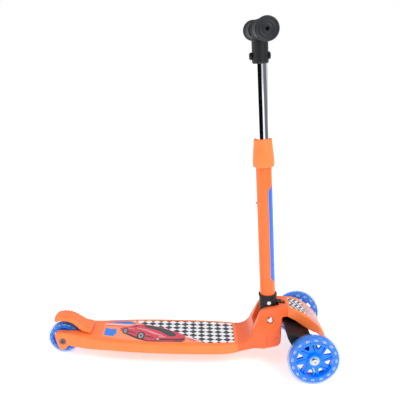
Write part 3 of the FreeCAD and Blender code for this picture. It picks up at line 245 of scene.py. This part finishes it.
# %% Hood film
HOOD_SLOPE_DEGREES = -28
FOLD_MM, LEAN = 13, 0.75
STROKE_PITCH_MM, STROKE_MM = 11.5, 6.0
FADE_START_X, FADE_END_X = 0.268, 0.279
film_hood, tree, surface = new_finish("film_printed_hood", "#FFFFFF", {"IOR": 1.5, "Roughness": 0.3})
place = add(tree, "ShaderNodeTexCoord")
sloped = add(tree, "ShaderNodeMapping", {
    "Vector": place.outputs["Object"], "Rotation": (0.0, math.radians(HOOD_SLOPE_DEGREES), 0.0)})
split = add(tree, "ShaderNodeSeparateXYZ", {"Vector": sloped.outputs[0]})
fold = add(tree, "ShaderNodeMath", {0: split.outputs["Y"], 1: FOLD_MM * MM}, operation="PINGPONG")
skew = add(tree, "ShaderNodeMath", {0: fold.outputs[0], 1: LEAN, 2: split.outputs["X"]},
           operation="MULTIPLY_ADD")
dash = add(tree, "ShaderNodeMath", {0: skew.outputs[0], 1: STROKE_PITCH_MM * MM},
           operation="FLOORED_MODULO")
dark = add(tree, "ShaderNodeMath", {0: dash.outputs[0], 1: STROKE_MM * MM}, operation="LESS_THAN")
chevrons = add(tree, "ShaderNodeMix", {"Factor": dark.outputs[0]}, data_type="RGBA")
chevrons.inputs["A"].default_value = linear("#EDE9EC")
chevrons.inputs["B"].default_value = linear("#2B2F3B")
streaks = add(tree, "ShaderNodeTexNoise", {
    "Vector": sloped.outputs[0], "Scale": 1 / (16 * MM), "Detail": 2.0, "Distortion": 1.8})
tints = add(tree, "ShaderNodeValToRGB", {"Fac": streaks.outputs["Fac"]})
for position, colour in ((0.32, "#4A4E5C"), (0.45, "#A7A3AE"), (0.53, "#E2596A"), (0.64, "#F2A58E")):
    stop = tints.color_ramp.elements.new(position)
    stop.color = linear(colour)
tints.color_ramp.elements.remove(tints.color_ramp.elements[0])
tints.color_ramp.elements.remove(tints.color_ramp.elements[-1])
plain = add(tree, "ShaderNodeSeparateXYZ", {"Vector": place.outputs["Object"]})
fade = add(tree, "ShaderNodeMapRange", {
    "Value": plain.outputs["X"], "From Min": FADE_START_X, "From Max": FADE_END_X})
both = add(tree, "ShaderNodeMix", {"Factor": fade.outputs[0]}, data_type="RGBA")
tree.links.new(chevrons.outputs["Result"], both.inputs["A"])
tree.links.new(tints.outputs["Color"], both.inputs["B"])
tree.links.new(both.outputs["Result"], surface.inputs["Base Color"])

# %% Tube film
film_tube, tree, surface = new_finish("film_printed_blue", "#0A6FE6", {"IOR": 1.5})
grain(tree, surface, 2.0, 0.006, ("#0565DE", "#187CF0"), (0.2, 0.3))

# %% [markdown]
# ## Finishes on the measured pieces
#
# Every measured piece takes the finish that its real part has. The record already names a material
# slot for each piece, so the slot decides the finish. Five pieces are deeper than the rest of their
# slot: the truck's beam, drawn darker than the other black nylon, the bolt and nut that clamp the
# handlebar, the rear axle bolt, and the nose. The nose's deeper orange was chosen with no reason
# known from the real object.

# %% Give every measured piece its finish
FINISHES = {
    "orange_plastic": orange_pp, "black_nylon": black_nylon, "blue_nylon": azure_nylon,
    "clear_tyre": clear_pu, "orange_paint": powder_coat, "chrome_tube": chrome,
    "zinc_steel": zinc, "bearing_steel": ground_steel, "deck_film": film_deck,
    "hood_film": film_hood, "blue_film": film_tube, "grip_rubber": grip_rubber,
    "pad_rubber": black_rubber, "bush_rubber": black_rubber, "light_housing": capsule,
    "spring_steel": zinc,
}
DARKER = {"truck_beam": beam_nylon, "neck_bolt": black_steel, "neck_nut": black_steel,
          "rear_axle_bolt": dull_steel, "nose_yoke": deep_pp}
slot_of = {row["node"]: row["material_slot"] for row in frame["record"]["subparts"]}
for name, piece in NODES.items():
    piece.data.materials.clear()
    piece.data.materials.append(DARKER.get(name) or FINISHES[slot_of[name]])

# %% [markdown]
# ## Softened mouldings
#
# A moulded piece has no sharp edges, because plastic won't fill them and a child's toy mustn't have
# them. Bevelling hundreds of edges one by one is brittle. A voxel remesh followed by smoothing rounds
# them all at once, as a polishing wheel would, and leaves broad faces where they were.


# %% Soften the mouldings
def soften(name, voxel_mm, rounds):
    piece = NODES[name]
    weld = piece.modifiers.new("join", "WELD")
    weld.merge_threshold = 0.01 * MM
    remesh = piece.modifiers.new("voxels", "REMESH")
    remesh.mode = "VOXEL"
    remesh.voxel_size = voxel_mm * MM
    remesh.use_smooth_shade = True
    smooth = piece.modifiers.new("polish", "SMOOTH")
    smooth.factor = 0.5
    smooth.iterations = rounds


SOFTENED = {
    "nose_yoke": (1.0, 5), "front_hood": (1.0, 6), "brake_fender": (0.8, 3), "truck_beam": (1.1, 6),
    "collar": (0.9, 5), "socket": (0.8, 5), "t_head": (0.9, 5), "release_button": (0.6, 5),
}
for name, (voxel_mm, rounds) in SOFTENED.items():
    soften(name, voxel_mm, rounds)
print("mouldings softened:", len(SOFTENED))

# %% [markdown]
# ## Smooth shading elsewhere
#
# Turned and drawn pieces keep their measured edges. Their faces are shaded smoothly, and the edge
# split keeps a crease wherever two faces meet at more than 32 degrees.

# %% Shade the other pieces
for name, piece in NODES.items():
    if name in SOFTENED:
        continue
    piece.data.polygons.foreach_set("use_smooth", [True] * len(piece.data.polygons))
    weld = piece.modifiers.new("join", "WELD")
    weld.merge_threshold = 0.005 * MM
    split_edges = piece.modifiers.new("crease", "EDGE_SPLIT")
    split_edges.split_angle = math.radians(32)

# %% [markdown]
# ## Grips
#
# A grip is a sleeve with a wide safety flange. It is made by drawing half of its section and spinning
# it round the bar, the way a turner makes a handle, because rings and rounded lips come out exact.


# %% Spin the grips
def spun(name, section_mm, centre, side, steps=96):
    """Spin a closed section of (radius, distance along the bar) about an axis along Y."""
    shape = bmesh.new()
    ring = [shape.verts.new((0.0, side * y * MM, radius * MM)) for radius, y in section_mm]
    edges = [shape.edges.new((ring[i], ring[(i + 1) % len(ring)])) for i in range(len(ring))]
    bmesh.ops.spin(shape, geom=ring + edges, cent=(0, 0, 0), axis=(0, 1, 0), dvec=(0, 0, 0),
                   angle=math.tau, steps=steps, use_merge=True)
    bmesh.ops.remove_doubles(shape, verts=shape.verts, dist=1e-6)
    bmesh.ops.translate(shape, verts=shape.verts, vec=centre)
    bmesh.ops.recalc_face_normals(shape, faces=shape.faces)
    return piece_from(name, shape)


def piece_from(name, shape, smooth=True):
    mesh = bpy.data.meshes.new(name)
    for face in shape.faces:
        face.smooth = smooth
    shape.to_mesh(mesh)
    shape.free()
    piece = bpy.data.objects.new(name, mesh)
    bpy.context.scene.collection.objects.link(piece)
    return piece


GRIP_START, GRIP_END, BORE = 22.0, 134.4, 11.06
section = [(BORE, GRIP_START), (20.4, GRIP_START), (21.6, 22.5), (22.0, 23.6), (22.0, 25.2),
           (21.4, 26.4), (19.6, 27.2), (19.0, 28.4)]
FIRST_RING, RING_PITCH, RING_COUNT = 30.0, 3.1, 30
for number in range(RING_COUNT):
    y = FIRST_RING + number * RING_PITCH
    section += [(18.55, y), (18.95, y + 0.8), (19.0, y + 1.5), (18.95, y + 2.2)]
section += [(18.9, 125.0), (19.6, 127.0), (21.4, 128.6), (23.2, 129.6), (23.9, 130.6), (24.0, 131.6),
            (23.9, 132.6), (23.2, 133.7), (22.2, GRIP_END), (20.9, GRIP_END), (20.2, 133.5),
            (15.2, 133.3), (14.8, 133.9), (13.6, 133.9), (13.2, 133.3), (9.2, 133.3), (8.6, 134.0),
            (4.6, 134.0), (4.0, 133.6), (3.9, 127.0), (BORE, 127.0)]
for side, grip_name in ((-1, "right_grip"), (1, "left_grip")):
    low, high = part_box(grip_name)
    centre = ((low[0] + high[0]) / 2, 0.0, (low[2] + high[2]) / 2)
    grip = spun(grip_name + "_ribbed", section, centre, side)
    grip.data.materials.append(grip_rubber)
    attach(grip, "handlebar")
    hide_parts(grip_name)
print("grips made with", RING_COUNT, "rings each")

# %% [markdown]
# ## Light plugs in the wheels
#
# Sixteen slots run round each wheel's flange, under the clear tyre. Pale plugs fill them on both faces
# and spread the light from the capsules behind.


# %% Plug the slots
SLOT_COUNT = 16
RIM_SHARE = 0.73
FLANGE_INSET_MM = 5
PLUG_DEPTH_MM = 7.3
PLUG_THICKNESS_MM = 0.6
PLUG_GAP_MM = 0.5


def plugs(wheel, radius_mm):
    low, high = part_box(wheel + "_core")
    centre = [(a + b) / 2 for a, b in zip(low, high)]
    band = radius_mm - FLANGE_INSET_MM - radius_mm * RIM_SHARE
    middle = radius_mm * RIM_SHARE + band / 2
    size = Matrix.Diagonal(((radius_mm * 0.15 - PLUG_GAP_MM) * MM, PLUG_THICKNESS_MM * MM,
                            (band * 0.5 - PLUG_GAP_MM) * MM, 1))
    shape = bmesh.new()
    for number in range(SLOT_COUNT):
        turn = Matrix.Rotation(math.tau * number / SLOT_COUNT, 4, "Y")
        for side in (-1, 1):
            block = bmesh.ops.create_cube(shape, size=1.0)
            where = Matrix.Translation((0, side * PLUG_DEPTH_MM * MM, middle * MM))
            bmesh.ops.transform(shape, matrix=Matrix.Translation(centre) @ turn @ where @ size,
                                verts=block["verts"])
    bmesh.ops.bevel(shape, geom=shape.edges[:], offset=0.25 * MM, segments=2, profile=0.5,
                    affect="EDGES", material=-1)
    made = piece_from(wheel + "_light_plugs", shape, smooth=False)
    made.data.materials.append(capsule)
    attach(made, wheel + "_wheel")


for wheel, radius_mm in (("rear", 40), ("right", 60), ("left", 60)):
    plugs(wheel, radius_mm)
print("plugs in each wheel:", SLOT_COUNT * 2)

# %% [markdown]
# ## The racing car on the board
#
# The car is a transfer under the film's gloss. Each colour is one thin closed sheet, cut to its outline
# and laid a few hundredths of a millimetre higher than the one below, as screen printing lays its inks.
# Rounding the corners of an outline with a vertex bevel keeps the shapes from looking cut with scissors.

# %% Lay flat prints on the board
FILM_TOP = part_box("deck_print")[1][2]


def print_ink(name, outlines_mm, level, colour, round_mm=2.0, roughness=0.3):
    shape = bmesh.new()
    for outline in outlines_mm:
        corners = [shape.verts.new((x * MM, y * MM, FILM_TOP + level * MM)) for x, y in outline]
        shape.faces.new(corners)
    bmesh.ops.bevel(shape, geom=shape.verts[:], offset=round_mm * MM, offset_type="OFFSET", segments=4,
                    profile=0.5, affect="VERTICES", material=-1)
    bmesh.ops.recalc_face_normals(shape, faces=shape.faces)
    for face in shape.faces:
        if face.normal.z < 0:
            face.normal_flip()
    grown = bmesh.ops.extrude_face_region(shape, geom=shape.faces[:])
    lowered = [item for item in grown["geom"] if isinstance(item, bmesh.types.BMVert)]
    bmesh.ops.translate(shape, verts=lowered, vec=(0, 0, -(level + 0.02) * MM))
    bmesh.ops.recalc_face_normals(shape, faces=shape.faces)
    piece = piece_from(name, shape, smooth=False)
    ink, tree, surface = new_finish("ink_" + name, colour, {"IOR": 1.5})
    darker = "#" + "".join(f"{int(int(colour[i:i + 2], 16) * 0.86):02X}" for i in (1, 3, 5))
    grain(tree, surface, 1.5, 0.004, (darker, colour), (roughness - 0.05, roughness + 0.05))
    piece.data.materials.append(ink)
    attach(piece, "deck")
    return piece


def ellipse(cx, cy, rx, ry, count=20):
    return [(cx + rx * math.cos(math.tau * i / count), cy + ry * math.sin(math.tau * i / count))
            for i in range(count)]


print_ink("blue_streak", [[(-204, 40), (-182, 44), (-147, 46), (-130, 33), (-149, 31), (-180, 35)]],
          0.05, "#1E86F0", 1.0)
print_ink("blue_plate", [[(-203, 10), (-190, 4), (-177, 6), (-174, -16), (-181, -31), (-203, -26)]],
          0.05, "#1C8CFF", 2.0)
print_ink("pale_streaks", [[(-205, 31), (-164, 29), (-137, 28), (-147, 24), (-166, 24), (-205, 26)],
                           [(-12, -19), (30, -45), (24, -46), (-10, -25)]], 0.05, "#FFD9D6", 0.6)
print_ink("red_streaks", [[(-204, 24), (-166, 22), (-150, 19), (-166, 17), (-204, 20)],
                          [(-10, -27), (20, -46), (12, -46), (-9, -32)]], 0.05, "#F4576A", 0.6)
print_ink("car_shadow", [[(-168, 1), (-150, -21), (-124, -41), (-100, -51), (-80, -52), (-17, -51),
                          (-8, -40), (-12, -34), (-60, -38), (-120, -14)]], 0.05, "#3A2A33", 2.0)
print_ink("car_body", [[(-168, 11), (-148, 19), (-134, 26), (-117, 30), (-100, 29), (-79, 22), (-61, 14),
                        (-42, 2), (-23, -9), (-10, -20), (-8, -31), (-13, -44), (-44, -49), (-70, -48),
                        (-97, -48), (-113, -38), (-126, -31), (-142, -19), (-155, -11), (-166, -3)]],
          0.09, "#E8415A", 2.0)
print_ink("car_highlight", [[(-128, 14), (-104, 6), (-78, -12), (-62, -22), (-64, -25), (-84, -17),
                             (-106, 0), (-128, 10)],
                            [(-150, 12), (-132, 8), (-132, 5), (-150, 9)],
                            [(-72, -25), (-54, -27), (-58, -32), (-74, -30)]], 0.13, "#FF9DA6", 1.0)
print_ink("car_glass", [[(-114, 26), (-100, 26), (-80, 20), (-61, 12), (-43, 0), (-30, -18), (-34, -25),
                         (-47, -26), (-57, -17), (-70, -3), (-88, 8), (-106, 15)],
                        [(-140, 21), (-128, 25), (-120, 24), (-131, 17)]], 0.13, "#3B4149", 2.0)
print_ink("car_grille", [[(-80, -37), (-58, -38), (-32, -38), (-11, -33), (-12, -41), (-32, -45),
                          (-58, -45), (-78, -44)],
                         [(-150, -1), (-128, -12), (-128, -16), (-148, -7)],
                         [(-104, -24), (-84, -32), (-84, -36), (-102, -30)]], 0.13, "#3A2730", 1.0)
print_ink("car_tyres", [ellipse(-154, -4, 7.0, 15), ellipse(-115, -25, 10, 19)], 0.14, "#2C2C33", 0.2)
print_ink("car_rims", [ellipse(-154, -4, 4.2, 10), ellipse(-115, -25, 6.2, 13)], 0.17, "#A9A9B4", 0.2)
print_ink("car_hubs", [ellipse(-154, -4, 1.6, 4), ellipse(-115, -25, 2.6, 5.4)], 0.20, "#4B4B55", 0.1)
print_ink("car_lamp", [ellipse(-74, -40, 3.2, 2.6)], 0.17, "#FFFFFF", 0.1)
print("printed sheets laid at", round(FILM_TOP / MM, 2), "mm")

# %% [markdown]
# ## Floor, light and camera
#
# A pale floor and a bright room keep the colours clean. The room is pure white behind the scooter and a
# little dimmer as a source of light. Bright plating only looks like plating when it has something dark to
# reflect, so a dark and a grey card that nothing but reflections can see stand round the stem.

# %% Floor
floor_shape = bmesh.new()
bmesh.ops.create_grid(floor_shape, x_segments=1, y_segments=1, size=12.0)
floor = piece_from("floor", floor_shape, smooth=False)
floor_finish, tree, surface = new_finish("paper_white_backdrop", "#FDFDFD", {
    "Roughness": 0.9, "Emission Color": (1, 1, 1, 1), "Emission Strength": 0.5})
floor.data.materials.append(floor_finish)

# %% Room
world = bpy.data.worlds.new("room")
world.use_nodes = True
bpy.context.scene.world = world
tree = world.node_tree
tree.nodes.clear()
rays = add(tree, "ShaderNodeLightPath")
brightness = add(tree, "ShaderNodeMapRange", {
    "Value": rays.outputs["Is Camera Ray"], "To Min": 0.72, "To Max": 1.0})
plain_room = add(tree, "ShaderNodeBackground", {"Color": (1, 1, 1, 1), "Strength": brightness.outputs[0]})
add(tree, "ShaderNodeOutputWorld", {"Surface": plain_room.outputs[0]})


# %% Cards that only reflections see
STEM_X, CARD_RADIUS = 0.16, 1.45
CARD_FOOT, CARD_TOP = 0.02, 1.6


def card(name, first_degrees, last_degrees, hex_colour, steps=24):
    """Stand a curved screen round the stem, its azimuths measured from +X towards +Y."""
    shape = bmesh.new()
    rail = []
    for number in range(steps + 1):
        turn = math.radians(first_degrees + (last_degrees - first_degrees) * number / steps)
        x, y = STEM_X + CARD_RADIUS * math.cos(turn), CARD_RADIUS * math.sin(turn)
        rail.append([shape.verts.new((x, y, height)) for height in (CARD_FOOT, CARD_TOP)])
    for left, right in zip(rail, rail[1:]):
        shape.faces.new((left[0], right[0], right[1], left[1]))
    screen = piece_from(name, shape, smooth=False)
    for kind in ("camera", "diffuse", "transmission", "volume_scatter", "shadow"):
        setattr(screen, "visible_" + kind, False)
    finish = bpy.data.materials.new(name + "_card")
    finish.use_nodes = True
    tree = finish.node_tree
    tree.nodes.clear()
    glow = add(tree, "ShaderNodeEmission", {"Color": linear(hex_colour), "Strength": 1.0})
    add(tree, "ShaderNodeOutputMaterial", {"Surface": glow.outputs[0]})
    screen.data.materials.append(finish)


card("dark_card", -150, -84, "#101114")
card("grey_card", -56, 8, "#77797E")


# %% Lamps
def lamp(name, place, target, size, watts):
    data = bpy.data.lights.new(name, "AREA")
    data.energy = watts
    data.size = size
    made = bpy.data.objects.new(name, data)
    bpy.context.scene.collection.objects.link(made)
    aim = (Vector(target) - Vector(place)).to_track_quat("-Z", "Y")
    made.matrix_world = Matrix.Translation(place) @ aim.to_matrix().to_4x4()


lamp("key", (1.4, -1.6, 2.2), (0.05, 0, 0.3), 1.4, 34)
lamp("fill", (-1.6, -1.2, 1.4), (0, 0, 0.3), 1.6, 8)

# %% Camera
bpy.context.scene.view_settings.view_transform = "Standard"
PLACE = Vector((-9.33 * MM, -1274.44 * MM, 741.75 * MM))
YAW, PITCH, ROLL = 0.019824, 0.269239, 0.032173
FOCAL_SHARE = 581.16 / 400
ahead = Vector((math.sin(YAW) * math.cos(PITCH), math.cos(YAW) * math.cos(PITCH), -math.sin(PITCH)))
level = Vector((math.cos(YAW), -math.sin(YAW), 0.0))
above = level.cross(ahead)
right = math.cos(ROLL) * level + math.sin(ROLL) * above
up = -math.sin(ROLL) * level + math.cos(ROLL) * above
lens = bpy.data.cameras.new("camera")
lens.sensor_width = 36.0
lens.lens = FOCAL_SHARE * lens.sensor_width
lens.clip_end = 50.0
camera = bpy.data.objects.new("camera", lens)
bpy.context.scene.collection.objects.link(camera)
turn = Matrix((right, up, -ahead)).transposed()
camera.matrix_world = Matrix.Translation(PLACE) @ turn.to_4x4()
bpy.context.scene.camera = camera
